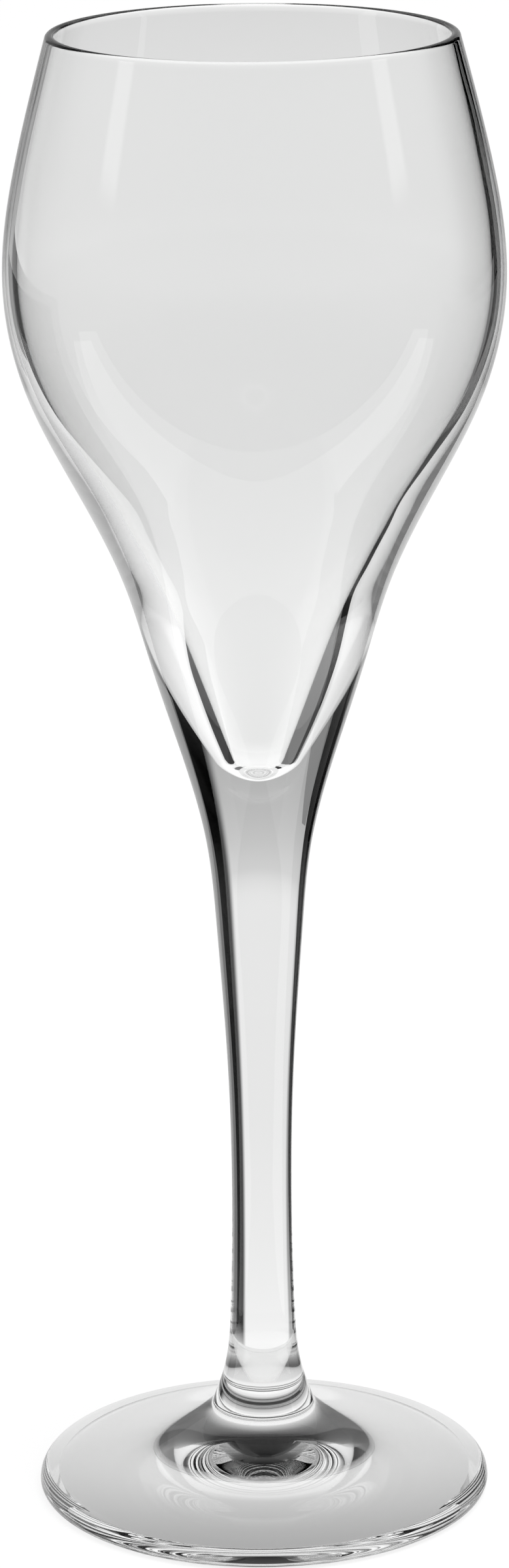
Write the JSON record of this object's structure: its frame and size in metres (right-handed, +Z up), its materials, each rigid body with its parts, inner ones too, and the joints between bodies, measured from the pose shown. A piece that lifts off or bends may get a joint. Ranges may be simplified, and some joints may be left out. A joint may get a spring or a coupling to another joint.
{
  "type": "champagne glass",
  "caption": "Clear champagne glass: a tulip bowl with a thick base, a slim solid stem and a round foot, fused into one stemmed glass.",
  "frame": {"origin": "centre of the ring under the foot, on the plane that the glass stands on", "axes": "+Z up along the axis of the glass, +X and +Y level"},
  "size_m": [0.0654, 0.0654, 0.2],
  "materials": {
    "clear_glass": "polished clear"
  },
  "bodies": {
    "root": {"bowl": "clear_glass", "stem": "clear_glass", "foot": "clear_glass"}
  },
  "joints": []
}
